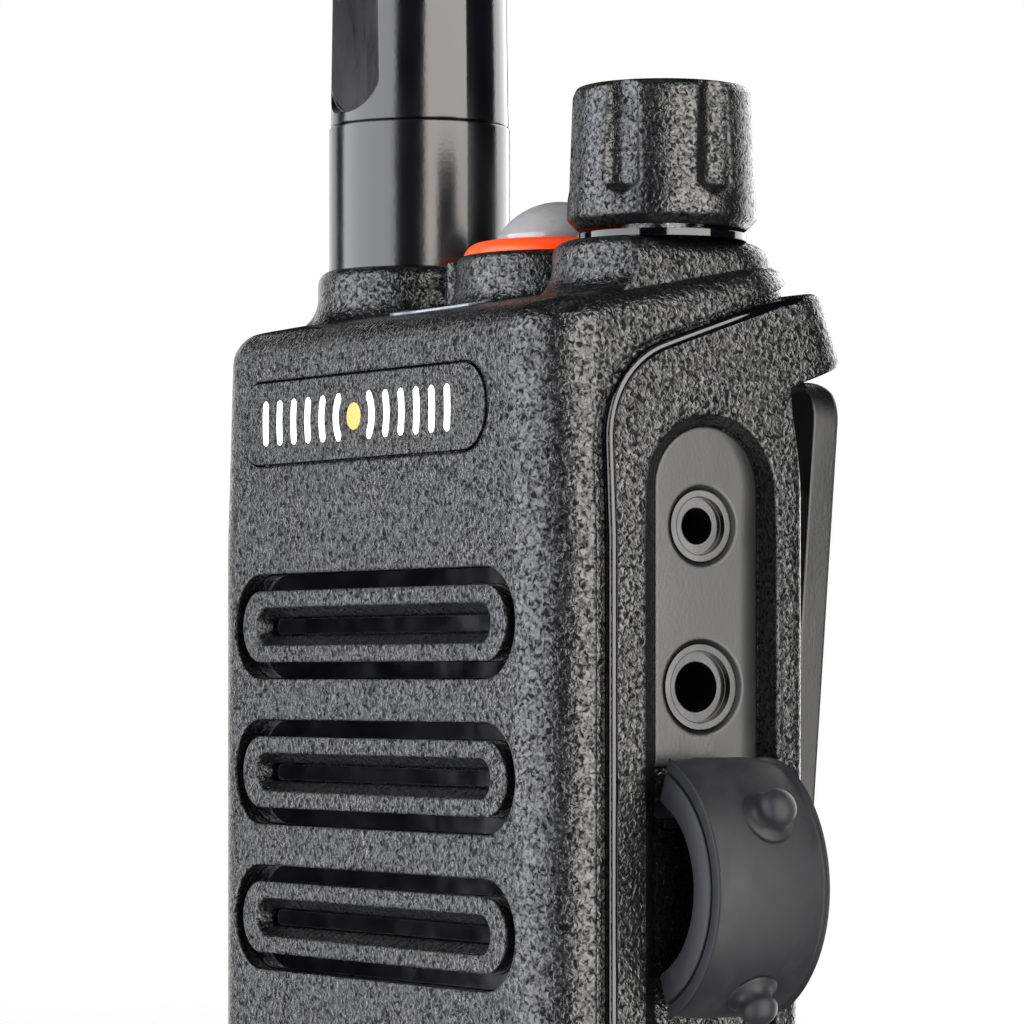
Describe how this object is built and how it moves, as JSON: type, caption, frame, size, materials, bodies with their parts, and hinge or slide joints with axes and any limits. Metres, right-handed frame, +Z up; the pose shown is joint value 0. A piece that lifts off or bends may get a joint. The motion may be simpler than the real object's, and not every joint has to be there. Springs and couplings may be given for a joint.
{
  "type": "handheld two-way radio",
  "caption": "Rugged handheld two-way radio with a stub antenna, a fluted volume knob, an orange top button, side jacks under a rubber cover, a slide-off battery and a spring belt clip.",
  "frame": {"origin": "centre of the casing's base face, on which the radio stands", "axes": "+Z up along the antenna, -Y the front with the loudspeaker slots, +X the side with the jacks and their cover, +Y the back with the battery and belt clip"},
  "size_m": [0.0581, 0.0334, 0.164],
  "materials": {
    "grained_black": "strongly grained matte black moulding",
    "satin_black": "smooth satin black moulding",
    "gloss_black": "polished black",
    "antenna_black": "smooth satin black sheath",
    "black_rubber": "soft bluish black rubber",
    "orange_plastic": "satin orange",
    "pale_lens": "milky light grey",
    "light_window": "smoky bluish grey",
    "jack_plastic": "black moulding",
    "bright_steel": "plated",
    "blackened_steel": "black oxide",
    "brass": "gold-plated contact",
    "green_board": "solder mask",
    "cast_plate": "as cast",
    "cell_wrap": "shrink sleeve",
    "grey_mesh": "woven dust net",
    "paper_cone": "pressed cone",
    "switch_plastic": "moulded"
  },
  "bodies": {
    "radio_body": {"front_housing": "grained_black", "rear_housing": "grained_black", "badge_plate": "grained_black", "grille_louvre_top": "grained_black", "grille_louvre_middle": "grained_black", "grille_louvre_bottom": "grained_black", "jack_panel": "satin_black", "grille_backing_plate": "gloss_black", "knob_collar": "gloss_black", "antenna_base": "antenna_black", "antenna_whip": "antenna_black", "jack_cover_anchor": "black_rubber", "housing_gasket": "black_rubber", "microphone_boot": "black_rubber", "status_light_led": "pale_lens", "status_light_lens": "light_window", "jack_socket_2_5": "jack_plastic", "jack_socket_3_5": "jack_plastic", "antenna_insert": "bright_steel", "speaker_basket": "bright_steel", "radio_shield_can": "bright_steel", "clip_hinge_pin": "bright_steel", "clip_spring": "bright_steel", "latch_springs": "bright_steel", "microphone": "bright_steel", "clip_bracket": "blackened_steel", "clip_screws": "blackened_steel", "housing_screws": "blackened_steel", "latch_retainer": "blackened_steel", "radio_contacts": "brass", "main_circuit_board": "green_board", "side_switch_board": "green_board", "chassis_plate": "cast_plate", "speaker_dust_net": "grey_mesh", "speaker_cone": "paper_cone", "volume_potentiometer": "switch_plastic", "top_button_switch": "switch_plastic", "side_switches": "switch_plastic", "audio_chip": "switch_plastic"},
    "volume_knob": {"volume_knob": "grained_black", "volume_spindle": "bright_steel"},
    "top_button": {"top_button_cap": "orange_plastic", "top_button_lens": "pale_lens"},
    "ptt_button": {"ptt_button": "black_rubber"},
    "side_key_upper": {"side_key_upper": "black_rubber"},
    "side_key_lower": {"side_key_lower": "black_rubber"},
    "jack_cover": {"jack_cover": "black_rubber"},
    "battery_pack": {"battery_case_front": "grained_black", "battery_case_rear": "grained_black", "battery_cells": "cell_wrap", "battery_protection_board": "green_board", "battery_contacts": "brass"},
    "battery_latch": {"battery_latch": "satin_black"},
    "belt_clip": {"belt_clip": "satin_black"}
  },
  "joints": [
    {"name": "volume_turn", "type": "hinge", "parent": "radio_body", "child": "volume_knob", "pos_m": [0.0167, 0.00265, 0.11], "axis": [0, 0, -1], "range_deg": [0, 270]},
    {"name": "top_button_press", "type": "slide", "parent": "radio_body", "child": "top_button", "axis": [0, 0, -1], "range_m": [0, 0.0008], "stiffness_N_per_m": 2500, "springref_m": -0.0004},
    {"name": "ptt_press", "type": "slide", "parent": "radio_body", "child": "ptt_button", "axis": [1, 0, 0], "range_m": [0, 0.0006], "stiffness_N_per_m": 3000, "springref_m": -0.0004},
    {"name": "side_key_upper_press", "type": "slide", "parent": "radio_body", "child": "side_key_upper", "axis": [1, 0, 0], "range_m": [0, 0.0006], "stiffness_N_per_m": 3000, "springref_m": -0.0003},
    {"name": "side_key_lower_press", "type": "slide", "parent": "radio_body", "child": "side_key_lower", "axis": [1, 0, 0], "range_m": [0, 0.0006], "stiffness_N_per_m": 3000, "springref_m": -0.0003},
    {"name": "jack_cover_swing", "type": "hinge", "parent": "radio_body", "child": "jack_cover", "pos_m": [0.0236, 0.00175, 0.0702], "axis": [0, -1, 0], "range_deg": [0, 46]},
    {"name": "battery_slide", "type": "slide", "parent": "radio_body", "child": "battery_pack", "axis": [0, 0, -1], "range_m": [0, 0.012]},
    {"name": "battery_latch_slide", "type": "slide", "parent": "radio_body", "child": "battery_latch", "axis": [0, -1, 0], "range_m": [0, 0.0008], "stiffness_N_per_m": 900, "springref_m": -0.0006, "deforming": ["latch_springs"]},
    {"name": "belt_clip_pivot", "type": "hinge", "parent": "radio_body", "child": "belt_clip", "pos_m": [0, 0.0142, 0.088], "axis": [1, 0, 0], "range_deg": [0, 14], "stiffness_Nm_per_rad": 1.2, "springref_deg": -11.46}
  ]
}
